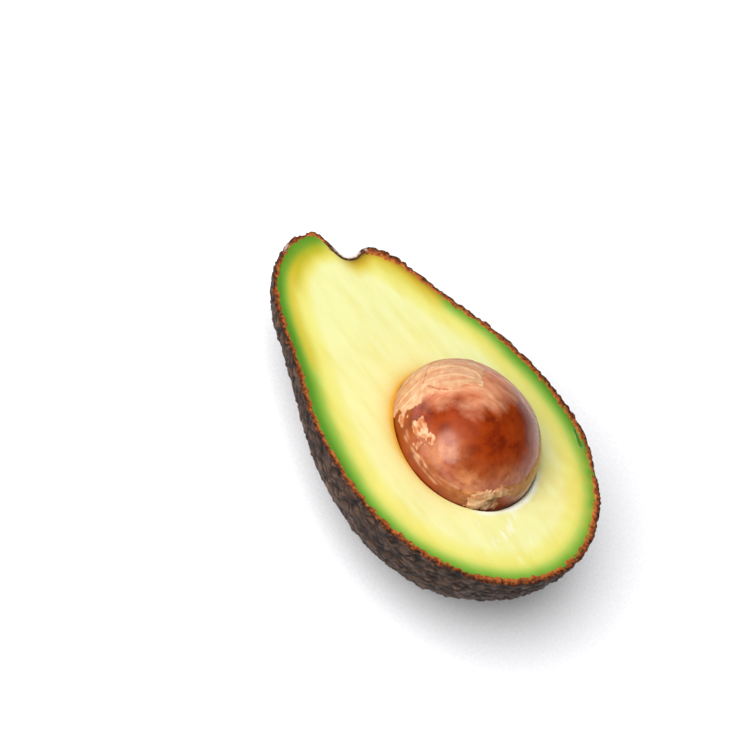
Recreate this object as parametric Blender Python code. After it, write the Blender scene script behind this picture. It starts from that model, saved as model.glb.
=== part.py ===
"""Half an avocado, cut lengthwise through the stem, lying on its back with the stone still in it.

Four pieces: the pebbled skin, the flesh, the stone and the scrap of seed coat that clings to the
stone. All are first laid out in the fruit's own frame, with the middle of the cut face at its
origin, +X towards the blossom end, +Y towards the lower shoulder of the neck and +Z out of the cut
face. The frame is then tipped and lifted, so that the half rests on a small flat spot at the
origin of the world.
"""
import math

import bmesh
import bpy
import numpy as np
from mathutils import Vector
from mathutils.geometry import delaunay_2d_cdt

MM = 0.001

# The outline of the cut face, as a polar radius about a point on the axis. The waves draw a circle
# out lengthwise, fatten the blossom end, and take in the neck. The face is 104 mm long and 67.5 mm
# wide.
OUTLINE_MEAN = 40.5 * MM
OUTLINE_WAVES = (2.8 * MM, 9.3 * MM, -2.2 * MM, 1.9 * MM, -0.8 * MM, 0.35 * MM)

# How deep the half is beside its half width, and how much flatter the flanks are than an ellipse,
# at the middle and then changing towards the neck
DEPTH_SHARE = 0.93
FLANK_PINCH = 0.045
FLANK_PINCH_TAPER = 0.06

# The hollow that the stem left in the neck: its direction from the blossom axis, its depth, how
# wide it is and how steeply it ends towards the high lobe and towards the low shoulder, how wide it
# is into the fruit, how deep in it the skin turns smooth, and how deep the points lie closest
NOTCH_ANGLE = math.radians(170.4)
NOTCH_DEPTH = 7.8 * MM
NOTCH_TO_LOBE = math.radians(3.4)
NOTCH_TO_SHOULDER = math.radians(7.8)
NOTCH_LOBE_POWER = 2.8
NOTCH_SHOULDER_POWER = 2.0
NOTCH_INWARD = math.radians(8.0)
NOTCH_SMOOTH_DEPTH = 4.4 * MM
NOTCH_CLOSE_DEPTH = 0.9 * MM

SKIN_THICKNESS = 1.6 * MM
GAP = 0.3 * MM

# The pebbles of the skin
PEBBLE_SPACING = 2.6 * MM
PEBBLE_STRETCH = 1.25
PEBBLE_RISE = (0.35 * MM, 0.85 * MM)
PEBBLE_VALLEY = (-0.55 * MM, -0.1 * MM)
SWELL_HEIGHT = 0.12 * MM
SWELL_LENGTH = 17 * MM

# The nets of points that the surfaces are drawn through: the spacing of the plain ones, how much
# closer the points are in the stem's hollow, and how many places are tried
PLAIN_SPACING = 5.2 * MM
NOTCH_SPACING_SHARE = 0.32
SCATTER_TRIES = 30000
SCATTER_SEED = 11
OUTLINE_STEPS = 3600
KEEL_STEPS = 720

# The stone: where its middle is on the cut face, half its length, width and height, how far it is
# turned on the cut face, how much wider it is towards its blunt end, and the pit where the seed
# coat was attached. Azimuths on it are counted from its blunt end, before it is turned.
STONE_CENTRE = (11.9 * MM, 1.5 * MM, -0.3 * MM)
STONE_HALF_SIZE = (19.5 * MM, 17.5 * MM, 17.6 * MM)
STONE_TURN = math.radians(-5)
STONE_EGG = 0.09
STONE_PIT_AZIMUTH = math.radians(-11)
STONE_PIT_ELEVATION = math.radians(6)
STONE_PIT_DEPTH = 1.2 * MM
STONE_PIT_WIDTH = math.radians(11)
STONE_RIPPLE = 0.18 * MM
STONE_RIPPLE_COUNT = 7
STONE_SIDES = 44
STONE_RINGS = 22

# The hollow for the stone, which stands off it most at the blossom end
HOLLOW_CLEARANCE = 0.45 * MM
HOLLOW_EXTRA = 1.3 * MM
HOLLOW_EXTRA_ANGLE = math.radians(13)
HOLLOW_EXTRA_WIDTH = math.radians(30)
HOLLOW_SIDES = 48
HOLLOW_RINGS = 9

# The scrap of seed coat: the direction of its middle from the stone's middle, its mean reach as an
# angle, its thickness, and its torn edge as waves: how far each reaches, its count and its start
COAT_AZIMUTH = math.radians(-153)
COAT_ELEVATION = math.radians(42)
COAT_REACH = math.radians(37)
COAT_THICKNESS = 0.6 * MM
COAT_TEARS = ((0.16, 2, 0.4), (0.10, 3, 2.1), (0.07, 7, 1.0), (0.05, 11, 0.0))
COAT_SIDES = 40
COAT_RINGS = 5

# The rest: how far the neck dips, and how deep the flat spot is cut off the round back
REST_DIP = math.radians(6)
REST_CUT = 0.6 * MM
REST_SMOOTH_RADIUS = 9 * MM

SHARP_ANGLE = math.radians(50)
SKIN_COLOUR = (0.085, 0.060, 0.045)
FLESH_COLOUR = (0.93, 0.91, 0.48)
STONE_COLOUR = (0.32, 0.065, 0.012)
COAT_COLOUR = (0.86, 0.55, 0.33)


def clear_scene():
    for item in list(bpy.data.objects):
        bpy.data.objects.remove(item, do_unlink=True)


def make_material(name, colour, roughness):
    material = bpy.data.materials.new(name)
    material.use_nodes = True
    shader = material.node_tree.nodes["Principled BSDF"]
    shader.inputs["Base Color"].default_value = (*colour, 1.0)
    shader.inputs["Roughness"].default_value = roughness
    shader.inputs["Metallic"].default_value = 0.0
    return material


def smooth_step(value):
    value = np.clip(value, 0.0, 1.0)
    return value * value * (3.0 - 2.0 * value)


# Shape of the half

def outline_radius(angle):
    waves = sum(size * np.cos(order * angle) for order, size in enumerate(OUTLINE_WAVES, start=1))
    return OUTLINE_MEAN + waves


def notch_depth(directions, inset=0.0):
    """How deep the stem's hollow is in each direction from the middle of the cut face.

    Inside the skin it is wider by the inset, so that its steep walls keep their thickness.
    """
    x, y, z = directions.T
    widening = inset / OUTLINE_MEAN
    along = np.arctan2(y, x) % math.tau - NOTCH_ANGLE
    width = np.where(along > 0, NOTCH_TO_LOBE, NOTCH_TO_SHOULDER) + widening
    power = np.where(along > 0, NOTCH_LOBE_POWER, NOTCH_SHOULDER_POWER)
    inward = np.arcsin(np.clip(z, -1.0, 1.0)) / (NOTCH_INWARD + widening)
    return NOTCH_DEPTH * np.exp(-(np.abs(along) / width) ** power - inward ** 2)


def back_points(directions, inset=0.0, relief=0.0):
    """Points of the half's back, inset from its smooth surface and then raised by the relief."""
    x, y, z = directions.T
    from_axis = np.arccos(np.clip(x, -1.0, 1.0))
    round_axis = np.arctan2(-z, y)
    radius = outline_radius(from_axis) - notch_depth(directions, inset) - inset + relief
    pinch = FLANK_PINCH - FLANK_PINCH_TAPER * np.cos(from_axis)
    flank = 1.0 - pinch * np.sin(2.0 * round_axis) ** 2
    return np.stack([radius * x, radius * y * flank, radius * z * flank * DEPTH_SHARE], axis=1)


def down_direction():
    return np.array([-math.sin(REST_DIP), 0.0, -math.cos(REST_DIP)])


def rest_point():
    """The lowest point of the smooth back once the neck has dipped, in the fruit's frame."""
    lengthwise = np.linspace(0.0, math.pi, KEEL_STEPS + 1)
    keel = np.stack([np.cos(lengthwise), np.zeros_like(lengthwise), -np.sin(lengthwise)], axis=1)
    points = back_points(keel)
    return points[np.argmax(points @ down_direction())]


def floor_distance():
    return float(rest_point() @ down_direction()) - REST_CUT


def settle(points):
    """Press what would reach below the floor flat on to it."""
    below = np.maximum(points @ down_direction() - floor_distance(), 0.0)
    return points - below[:, None] * down_direction()


def swell(points):
    """Broad low swellings of the skin, in three crossing waves."""
    x, y, z = points.T * (math.tau / SWELL_LENGTH)
    return SWELL_HEIGHT * (np.sin(x + y) * np.sin(y + z) + np.sin(z - x))


def relief_share(directions):
    """1 where the skin is pebbled, falling to 0 in the stem's hollow and round the flat spot."""
    from_spot = np.linalg.norm(back_points(directions) - rest_point(), axis=1)
    away = smooth_step((from_spot - REST_SMOOTH_RADIUS) / REST_SMOOTH_RADIUS)
    return away * (1.0 - smooth_step(notch_depth(directions) / NOTCH_SMOOTH_DEPTH))


# Nets of points over the back

def local_spacing(directions, spacing):
    closeness = smooth_step(notch_depth(directions) / NOTCH_CLOSE_DEPTH)
    return spacing * (1.0 - (1.0 - NOTCH_SPACING_SHARE) * closeness)


def rim_directions(spacing):
    """Directions round the cut, in order, about one local spacing apart on the outline."""
    angle = np.linspace(0.0, math.tau, OUTLINE_STEPS + 1)
    ring = np.stack([np.cos(angle), np.sin(angle), np.zeros_like(angle)], axis=1)
    step = np.linalg.norm(np.diff(back_points(ring), axis=0), axis=1)
    counted = np.concatenate([[0.0], np.cumsum(step / local_spacing(ring, spacing)[1:])])
    count = round(counted[-1])
    chosen = np.interp(np.arange(count) * counted[-1] / count, counted, angle)
    return np.stack([np.cos(chosen), np.sin(chosen), np.zeros(count)], axis=1)


def scatter(spacing, stretch, seed):
    """Directions over the back at least about one spacing apart: the rim's first, and its count."""
    rng = np.random.default_rng(seed)
    shrink = np.array([1.0 / stretch, 1.0, 1.0])
    rim = rim_directions(spacing)
    tries = rng.normal(size=(SCATTER_TRIES, 3))
    tries[:, 2] = -np.abs(tries[:, 2])
    tries /= np.linalg.norm(tries, axis=1)[:, None]
    places = back_points(tries) * shrink
    room = local_spacing(tries, spacing)
    kept = np.zeros((len(rim) + SCATTER_TRIES, 3))
    kept[:len(rim)] = back_points(rim) * shrink
    count = len(rim)
    chosen = []
    for index, place in enumerate(places):
        nearest = np.min(np.sum((kept[:count] - place) ** 2, axis=1))
        if nearest > (room[index] / math.sqrt(stretch)) ** 2:
            kept[count] = place
            count += 1
            chosen.append(index)
    return np.concatenate([rim, tries[chosen]]), len(rim)


def flat_map(directions):
    """The directions laid out on a disc, its rim being the cut, with areas kept."""
    reach = np.sqrt(1.0 + directions[:, 2]) / np.hypot(directions[:, 0], directions[:, 1])
    return directions[:, :2] * reach[:, None]


def net_triangles(directions):
    """Triangles between the directions, counter-clockwise as seen from above the cut face."""
    spots = [Vector(spot) for spot in flat_map(directions)]
    return delaunay_2d_cdt(spots, [], [], 0, 1e-9)[2]


def pebble_net(directions, rim_count):
    """The valleys between the pebbles and the faces round each peak.

    Each triangle of the net gets a valley at its middle, and its edges are turned to run from
    valley to valley. On the rim a valley lies between each two peaks.
    """
    triangles = net_triangles(directions)
    spots = flat_map(directions)
    count = len(directions)
    middles = [directions[list(corners)].sum(axis=0) for corners in triangles]
    middles += [directions[index] + directions[(index + 1) % rim_count] for index in range(rim_count)]
    valleys = np.array(middles) / np.linalg.norm(middles, axis=1)[:, None]
    spots = np.concatenate([spots, flat_map(valleys)])
    left_of = {}
    for number, corners in enumerate(triangles):
        for start, end in zip(corners, corners[1:] + corners[:1]):
            left_of[start, end] = count + number
    faces = []
    for (start, end), left in left_of.items():
        right = left_of.get((end, start))
        if right is None:
            between = count + len(triangles) + start
            faces += [(start, between, left), (between, end, left)]
        elif start < end:
            turned = [(start, right, left), (end, left, right)]
            plain = [(start, end, left), (end, start, right)]
            faces += turned if all(is_counter_clockwise(spots, face) for face in turned) else plain
    return valleys, faces


def is_counter_clockwise(spots, face):
    a, b, c = (spots[index] for index in face)
    return (b[0] - a[0]) * (c[1] - a[1]) - (b[1] - a[1]) * (c[0] - a[0]) > 1e-7


# Solids

def add_surface(mesh, points, faces):
    corners = [mesh.verts.new(point) for point in points]
    for face in faces:
        mesh.faces.new([corners[index] for index in face])
    return corners


def loop_edges(mesh, corners):
    edges = []
    for corner, following in zip(corners, corners[1:] + corners[:1]):
        edges.append(mesh.edges.get((corner, following)) or mesh.edges.new((corner, following)))
    return edges


def fill_between(mesh, outer, inner):
    """Flat faces between the edge loops of the cut face."""
    edges = loop_edges(mesh, outer) + loop_edges(mesh, inner)
    bmesh.ops.triangle_fill(mesh, use_beauty=True, use_dissolve=False, edges=edges, normal=(0, 0, 1))


def finish_object(mesh, name, material, frame):
    bmesh.ops.recalc_face_normals(mesh, faces=mesh.faces)
    data = bpy.data.meshes.new(name)
    mesh.to_mesh(data)
    mesh.free()
    data.shade_smooth()
    data.set_sharp_from_angle(angle=SHARP_ANGLE)
    data.materials.append(material)
    item = bpy.data.objects.new(name, data)
    bpy.context.scene.collection.objects.link(item)
    item.parent = frame
    return item


def build_skin(plain, plain_rim, frame):
    """The pebbled shell: its outside, its plain inside, and the flat rim between them."""
    rng = np.random.default_rng(SCATTER_SEED)
    peaks, rim_count = scatter(PEBBLE_SPACING, PEBBLE_STRETCH, SCATTER_SEED)
    valleys, faces = pebble_net(peaks, rim_count)
    directions = np.concatenate([peaks, valleys])
    heights = np.concatenate([
        rng.uniform(*PEBBLE_RISE, len(peaks)),
        rng.uniform(*PEBBLE_VALLEY, len(valleys)),
    ])
    relief = relief_share(directions) * (heights + swell(back_points(directions)))
    outside = settle(back_points(directions, relief=relief))
    mesh = bmesh.new()
    outer = add_surface(mesh, outside, faces)
    inner = add_surface(mesh, back_points(plain, inset=SKIN_THICKNESS), net_triangles(plain))
    rim_valleys = len(directions) - rim_count
    outer_rim = []
    for index in range(rim_count):
        outer_rim += [outer[index], outer[rim_valleys + index]]
    fill_between(mesh, outer_rim, inner[:plain_rim])
    return finish_object(mesh, "skin", make_material("avocado_skin", SKIN_COLOUR, 0.55), frame)


def direction(azimuth, elevation):
    """Unit vectors for azimuths and elevations, one to a row."""
    level = np.cos(elevation)
    return np.stack([level * np.cos(azimuth), level * np.sin(azimuth), np.sin(elevation)], axis=-1)


def egg_points(directions, raised):
    """Points of the stone's plain egg, in the fruit's frame, raised off it along the directions."""
    x, y, z = (directions * (np.array(STONE_HALF_SIZE) + np.reshape(raised, (-1, 1)))).T
    y = y * (1.0 + STONE_EGG * directions[:, 0])
    cosine, sine = math.cos(STONE_TURN), math.sin(STONE_TURN)
    turned = np.stack([x * cosine - y * sine, x * sine + y * cosine, z], axis=1)
    return turned + np.array(STONE_CENTRE)


def hollow_points():
    """Rings of the hollow for the stone, from its edge on the cut face down to its lowest point."""
    turn = np.arange(HOLLOW_SIDES) * math.tau / HOLLOW_SIDES
    away = (turn - HOLLOW_EXTRA_ANGLE + math.pi) % math.tau - math.pi
    rings = []
    for ring in range(HOLLOW_RINGS):
        steep = math.radians(90) * ring / HOLLOW_RINGS
        extra = HOLLOW_EXTRA * np.exp(-(away / HOLLOW_EXTRA_WIDTH) ** 2) * math.cos(steep) ** 2
        points = egg_points(direction(turn, np.full(HOLLOW_SIDES, -steep)), HOLLOW_CLEARANCE + extra)
        points[:, 2] -= STONE_CENTRE[2] * math.cos(steep)
        rings.append(points)
    rings.append(egg_points(direction(0.0, -math.pi / 2)[None], HOLLOW_CLEARANCE))
    return np.concatenate(rings)


def build_flesh(plain, plain_rim, frame):
    """The flesh: its outside, the round hollow, and the flat cut face between their edges."""
    mesh = bmesh.new()
    outside = back_points(plain, inset=SKIN_THICKNESS + GAP)
    outer = add_surface(mesh, outside, net_triangles(plain))
    points = hollow_points()
    faces = []
    for ring in range(HOLLOW_RINGS):
        for side in range(HOLLOW_SIDES):
            here = ring * HOLLOW_SIDES + side
            beside = ring * HOLLOW_SIDES + (side + 1) % HOLLOW_SIDES
            if ring == HOLLOW_RINGS - 1:
                faces.append((here, beside, len(points) - 1))
            else:
                faces += [
                    (here, beside, beside + HOLLOW_SIDES),
                    (here, beside + HOLLOW_SIDES, here + HOLLOW_SIDES),
                ]
    hollow = add_surface(mesh, points, faces)
    fill_between(mesh, outer[:plain_rim], hollow[:HOLLOW_SIDES])
    return finish_object(mesh, "flesh", make_material("avocado_flesh", FLESH_COLOUR, 0.4), frame)


def stone_points(directions, raised=0.0):
    """Points of the stone's surface, or raised off it, for directions from its middle."""
    x, y, z = directions.T
    ripple = np.sin(STONE_RIPPLE_COUNT * (np.arctan2(y, x) + np.arcsin(z))) * np.hypot(x, y) - 1.0
    to_pit = directions @ direction(STONE_PIT_AZIMUTH, STONE_PIT_ELEVATION)
    pit = np.exp(-(np.arccos(np.clip(to_pit, -1.0, 1.0)) / STONE_PIT_WIDTH) ** 2)
    return egg_points(directions, STONE_RIPPLE * ripple - STONE_PIT_DEPTH * pit + raised)


def build_stone(frame):
    """The stone: rings round an upright axis."""
    turn = np.arange(STONE_SIDES) * math.tau / STONE_SIDES
    heights = np.linspace(-math.pi / 2, math.pi / 2, STONE_RINGS + 1)
    directions = [direction(0.0, heights[0])[None]]
    directions += [direction(turn, np.full(STONE_SIDES, height)) for height in heights[1:-1]]
    directions += [direction(0.0, heights[-1])[None]]
    points = stone_points(np.concatenate(directions))
    faces = []
    last = 1 + (STONE_RINGS - 2) * STONE_SIDES
    for side in range(STONE_SIDES):
        beside = (side + 1) % STONE_SIDES
        faces.append((0, 1 + beside, 1 + side))
        faces.append((last + side, last + beside, len(points) - 1))
        for ring in range(STONE_RINGS - 2):
            low = 1 + ring * STONE_SIDES
            high = low + STONE_SIDES
            faces.append((low + side, low + beside, high + beside))
            faces.append((low + side, high + beside, high + side))
    mesh = bmesh.new()
    add_surface(mesh, points, faces)
    return finish_object(mesh, "stone", make_material("avocado_stone", STONE_COLOUR, 0.25), frame)


def coat_reach(turn):
    """How far the torn scrap reaches from its middle in each direction, as an angle."""
    torn = sum(size * np.sin(count * turn + start) for size, count, start in COAT_TEARS)
    return COAT_REACH * (1.0 + torn)


def build_coat(frame):
    """The scrap of seed coat: two sheets round the same middle, joined along their torn edge."""
    middle = direction(COAT_AZIMUTH, COAT_ELEVATION)
    across = direction(COAT_AZIMUTH + math.pi / 2, 0.0)
    upward = np.cross(middle, across)
    turn = np.arange(COAT_SIDES) * math.tau / COAT_SIDES
    sideways = np.outer(np.cos(turn), across) + np.outer(np.sin(turn), upward)
    directions = [middle[None]]
    for ring in range(1, COAT_RINGS + 1):
        reach = (coat_reach(turn) * ring / COAT_RINGS)[:, None]
        directions.append(middle * np.cos(reach) + sideways * np.sin(reach))
    directions = np.concatenate(directions)
    sheets = [stone_points(directions, raised) for raised in (GAP, GAP + COAT_THICKNESS)]
    faces = []
    top = len(directions)
    for side in range(COAT_SIDES):
        beside = (side + 1) % COAT_SIDES
        faces.append((0, 1 + beside, 1 + side))
        faces.append((top, top + 1 + side, top + 1 + beside))
        for ring in range(COAT_RINGS - 1):
            near = 1 + ring * COAT_SIDES
            far = near + COAT_SIDES
            quad = (near + side, far + side, far + beside, near + beside)
            for start, order in ((0, -1), (top, 1)):
                corners = [start + corner for corner in quad]
                faces += [(corners[0], *corners[1:3])[::order], (corners[0], *corners[2:])[::order]]
        edge = 1 + (COAT_RINGS - 1) * COAT_SIDES
        faces.append((edge + side, edge + beside, top + edge + beside))
        faces.append((edge + side, top + edge + beside, top + edge + side))
    mesh = bmesh.new()
    add_surface(mesh, np.concatenate(sheets), faces)
    return finish_object(mesh, "seed_coat", make_material("seed_coat", COAT_COLOUR, 0.6), frame)


def rest_frame():
    """An empty at the middle of the cut face, tipped and lifted as the half rests."""
    frame = bpy.data.objects.new("cut_face_middle", None)
    bpy.context.scene.collection.objects.link(frame)
    frame.rotation_euler = (0.0, -REST_DIP, 0.0)
    lowest = rest_point()
    forward = np.array([math.cos(REST_DIP), 0.0, -math.sin(REST_DIP)])
    frame.location = (-float(lowest @ forward), 0.0, floor_distance())
    return frame


def main():
    clear_scene()
    frame = rest_frame()
    plain, plain_rim = scatter(PLAIN_SPACING, 1.0, SCATTER_SEED + 1)
    build_skin(plain, plain_rim, frame)
    build_flesh(plain, plain_rim, frame)
    build_stone(frame)
    build_coat(frame)
    bpy.context.view_layer.update()


main()
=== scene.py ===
"""The looks of half an avocado with its stone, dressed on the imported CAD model.

Shapes are worked out in the fruit's own frame, as in the part's source: the middle of the cut face
is the origin, +X points to the blossom end, +Y to the low shoulder of the neck and +Z out of the
cut face. as_it_rests() then lays them where the half lies, on its back, with its neck dipping.
"""

import math

import bmesh
import bpy
import numpy as np
from bpy.props import FloatProperty, FloatVectorProperty, PointerProperty
from mathutils import Matrix, Vector
from mathutils.kdtree import KDTree


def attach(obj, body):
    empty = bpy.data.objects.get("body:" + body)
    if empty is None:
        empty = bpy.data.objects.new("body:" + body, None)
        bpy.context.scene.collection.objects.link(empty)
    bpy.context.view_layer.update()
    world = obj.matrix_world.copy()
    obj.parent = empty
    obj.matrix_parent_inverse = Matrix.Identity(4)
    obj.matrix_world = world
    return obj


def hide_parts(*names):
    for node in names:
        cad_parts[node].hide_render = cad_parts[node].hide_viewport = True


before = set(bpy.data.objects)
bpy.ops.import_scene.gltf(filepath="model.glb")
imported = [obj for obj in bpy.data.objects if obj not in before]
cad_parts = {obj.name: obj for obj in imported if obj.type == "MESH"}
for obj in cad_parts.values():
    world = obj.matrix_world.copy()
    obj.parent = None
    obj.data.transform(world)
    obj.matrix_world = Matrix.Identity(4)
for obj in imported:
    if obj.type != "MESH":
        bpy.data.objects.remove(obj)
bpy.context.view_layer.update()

bl_info = {
    "name": "Halved avocado",
    "version": (1, 0, 0),
    "blender": (4, 5, 0),
    "location": "3D View > Sidebar > Avocado",
    "description": "Builds the rind, flesh, stone and seed coat of half an avocado, and its stage",
    "category": "Object",
}

MM = 0.001
BODY = "root"

# Shape of the half, with the values of the part's source
OUTLINE_MEAN = 40.5 * MM
OUTLINE_WAVES = (2.8 * MM, 9.3 * MM, -2.2 * MM, 1.9 * MM, -0.8 * MM, 0.35 * MM)
DEPTH_SHARE = 0.93
FLANK_PINCH = 0.045
FLANK_PINCH_TAPER = 0.06
NOTCH_ANGLE = math.radians(170.4)
NOTCH_DEPTH = 7.8 * MM
NOTCH_TO_LOBE = math.radians(3.4)
NOTCH_TO_SHOULDER = math.radians(7.8)
NOTCH_LOBE_POWER = 2.8
NOTCH_SHOULDER_POWER = 2.0
NOTCH_INWARD = math.radians(8.0)
NOTCH_SMOOTH_DEPTH = 4.4 * MM
NOTCH_CLOSE_DEPTH = 0.9 * MM
NOTCH_SPACING_SHARE = 0.32
SKIN_THICKNESS = 1.6 * MM
REST_DIP = math.radians(6)
REST_CUT = 0.6 * MM
REST_SMOOTH_RADIUS = 9 * MM
STONE_CENTRE = np.array((11.9, 1.5, -0.3)) * MM
STONE_HALF_SIZE = np.array((19.5, 17.5, 17.6)) * MM
STONE_TURN = math.radians(-5)
STONE_EGG = 0.09
STONE_PIT_AZIMUTH = math.radians(-11)
STONE_PIT_ELEVATION = math.radians(6)
STONE_PIT_DEPTH = 1.2 * MM
STONE_PIT_WIDTH = math.radians(11)
STONE_RIPPLE = 0.18 * MM
STONE_RIPPLE_COUNT = 7

# How finely the meshes are drawn
OUTLINE_STEPS = 3600
SKIN_COLUMNS = 960
SKIN_WALL_ROWS = 180
SKIN_RIM_ROWS = 12
SKIN_INSIDE_ROWS = 12
FLESH_COLUMNS = 720
FLESH_HOLLOW_ROWS = 36
FLESH_FACE_ROWS = 110
FLESH_HULL_ROWS = 14
STONE_SUBDIVISIONS = 7
COAT_SUBDIVISIONS = 8
SCATTER_TRIES = 26000

# Camera, at the photograph's viewing angle on the cut face
CAMERA_TARGET = np.array((-13.58, -7.58, -1.03)) * MM
CAMERA_AZIMUTH = math.radians(-71.9)
CAMERA_ELEVATION = math.radians(50.5)
CAMERA_ROLL = math.radians(42.3)
CAMERA_DISTANCE = 610.9 * MM
CAMERA_LENS = 126.5
CAMERA_SENSOR = 36.0
CAMERA_CLIP_START = 50 * MM


def from_hex(text):
    """A colour written in sRGB hex, as the linear values that Blender works with."""
    channels = [int(text[start:start + 2], 16) / 255.0 for start in (0, 2, 4)]
    return tuple(c / 12.92 if c <= 0.04045 else ((c + 0.055) / 1.055) ** 2.4 for c in channels)


def smooth_step(value):
    """0 up to 0 and 1 from 1 on, with a soft way between them."""
    value = np.clip(value, 0.0, 1.0)
    return value * value * (3.0 - 2.0 * value)


def bump(value, middle, width):
    """1 at the middle, falling off to both sides like a bell."""
    return np.exp(-((value - middle) / width) ** 2)


def angle_from(angle, middle):
    """How far an angle is from the middle one, the shorter way round."""
    return (angle - middle + math.pi) % math.tau - math.pi


def sector(angle, middle, half_width, softness):
    """1 between two directions, given in degrees, falling to 0 across a soft border."""
    away = np.abs(angle_from(angle, math.radians(middle)))
    return smooth_step((math.radians(half_width) - away) / math.radians(softness) + 0.5)


def to_line(points, line):
    """How far each point is from the bent line through the given ones."""
    nearest = np.full(len(points), np.inf)
    for start, end in zip(line[:-1], line[1:]):
        along = end - start
        share = np.clip((points - start) @ along / (along @ along), 0.0, 1.0)
        nearest = np.minimum(nearest, np.linalg.norm(points - start - share[:, None] * along, axis=1))
    return nearest


def ripples(points, length, seed, count=28):
    """Smooth seeded noise with swells of about that length, around 0 and mostly within 1."""
    rng = np.random.default_rng(seed)
    ways = rng.normal(size=(count, 3))
    ways /= np.linalg.norm(ways, axis=1)[:, None]
    ways *= (math.tau / length * rng.uniform(0.6, 1.4, count))[:, None]
    starts = rng.uniform(0.0, math.tau, count)
    total = np.zeros(len(points))
    for way, start in zip(ways, starts):
        total += np.sin(points @ way + start)
    return total * math.sqrt(2.0 / count) * 0.7


def search_tree(points):
    """A tree that finds the nearest of the points, by their numbers."""
    tree = KDTree(len(points))
    for number, point in enumerate(points):
        tree.insert(point, number)
    tree.balance()
    return tree


def layered(points, layers):
    """Several ripples on top of each other, each given as its length, seed and height."""
    return sum(ripples(points, length, seed) * height for length, seed, height in layers)


# Shape of the half

def direction(azimuth, elevation):
    """Unit vectors for azimuths and elevations, one to a row."""
    azimuth, elevation = np.broadcast_arrays(azimuth, elevation)
    level = np.cos(elevation)
    return np.stack([level * np.cos(azimuth), level * np.sin(azimuth), np.sin(elevation)], axis=-1)


def outline_radius(angle):
    """Radius of the whole fruit's outline, by the angle from the blossom end."""
    waves = sum(size * np.cos(order * angle) for order, size in enumerate(OUTLINE_WAVES, start=1))
    return OUTLINE_MEAN + waves


def notch_depth(directions, inset=0.0):
    """How deep the stem's hollow is in each direction, wider inside the skin by the inset."""
    x, y, z = directions.T
    widening = inset / OUTLINE_MEAN
    along = np.arctan2(y, x) % math.tau - NOTCH_ANGLE
    width = np.where(along > 0, NOTCH_TO_LOBE, NOTCH_TO_SHOULDER) + widening
    power = np.where(along > 0, NOTCH_LOBE_POWER, NOTCH_SHOULDER_POWER)
    inward = np.arcsin(np.clip(z, -1.0, 1.0)) / (NOTCH_INWARD + widening)
    return NOTCH_DEPTH * np.exp(-(np.abs(along) / width) ** power - inward ** 2)


def back_points(directions, inset=0.0):
    """Points of the half's smooth back, or inset from it."""
    x, y, z = directions.T
    from_axis = np.arccos(np.clip(x, -1.0, 1.0))
    round_axis = np.arctan2(-z, y)
    radius = outline_radius(from_axis) - notch_depth(directions, inset) - inset
    pinch = FLANK_PINCH - FLANK_PINCH_TAPER * np.cos(from_axis)
    flank = 1.0 - pinch * np.sin(2.0 * round_axis) ** 2
    return np.stack([radius * x, radius * y * flank, radius * z * flank * DEPTH_SHARE], axis=1)


def down_direction():
    """Which way is down for the half as it lies, in the fruit's frame."""
    return np.array([-math.sin(REST_DIP), 0.0, -math.cos(REST_DIP)])


def rest_point():
    """The lowest point of the smooth back once the neck has dipped, in the fruit's frame."""
    points = back_points(direction(0.0, -np.linspace(0.0, math.pi, 721)))
    return points[np.argmax(points @ down_direction())]


REST_POINT = rest_point()
FLOOR_DISTANCE = float(REST_POINT @ down_direction()) - REST_CUT


def settle(points):
    """Press what would reach below the floor flat on to it."""
    below = np.maximum(points @ down_direction() - FLOOR_DISTANCE, 0.0)
    return points - below[:, None] * down_direction()


def as_it_rests(points):
    """Points of the fruit's frame moved to where the half lies."""
    cosine, sine = math.cos(REST_DIP), math.sin(REST_DIP)
    turned = points @ np.array([[cosine, 0.0, sine], [0.0, 1.0, 0.0], [-sine, 0.0, cosine]])
    forward = np.array([cosine, 0.0, -sine])
    return turned + np.array([-float(REST_POINT @ forward), 0.0, FLOOR_DISTANCE])


def local_spacing(directions, spacing):
    """The spacing to use in each direction, closer in the stem's hollow."""
    closeness = smooth_step(notch_depth(directions) / NOTCH_CLOSE_DEPTH)
    return spacing * (1.0 - (1.0 - NOTCH_SPACING_SHARE) * closeness)


def rim_angles(count):
    """Angles round the cut at even steps along the outline, closer in the stem's hollow."""
    angle = np.linspace(0.0, math.tau, OUTLINE_STEPS + 1)
    ring = direction(angle, 0.0)
    step = np.linalg.norm(np.diff(back_points(ring), axis=0), axis=1)
    counted = np.concatenate([[0.0], np.cumsum(step / local_spacing(ring, 1.0)[1:])])
    return np.interp(np.arange(count) * counted[-1] / count, counted, angle)


def grid_normals(grid):
    """Outward normals of a grid of rings, rows going down from the cut."""
    down = np.gradient(grid, axis=0)
    round_it = np.roll(grid, -1, axis=1) - np.roll(grid, 1, axis=1)
    normals = np.cross(down, round_it)
    return normals / np.maximum(np.linalg.norm(normals, axis=2), 1e-12)[:, :, None]


# Meshes

def add_object(name, mesh, material, node):
    """Puts a finished mesh in the scene as the piece that stands for a CAD node."""
    mesh.materials.append(material)
    piece = bpy.data.objects.new(name, mesh)
    bpy.context.scene.collection.objects.link(piece)
    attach(piece, BODY)
    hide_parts(node)
    return piece


def add_values(mesh, values):
    """Stores one number for each corner point of a mesh under each name, for its material."""
    for name, numbers in values.items():
        attribute = mesh.attributes.new(name, "FLOAT", "POINT")
        attribute.data.foreach_set("value", np.ascontiguousarray(numbers, dtype=np.float32))


def resting_mesh(name, points, faces):
    """A smooth shaded mesh of the fruit, laid as the half lies."""
    mesh = bpy.data.meshes.new(name)
    mesh.from_pydata(as_it_rests(points).tolist(), [], faces)
    mesh.shade_smooth()
    return mesh


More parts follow.
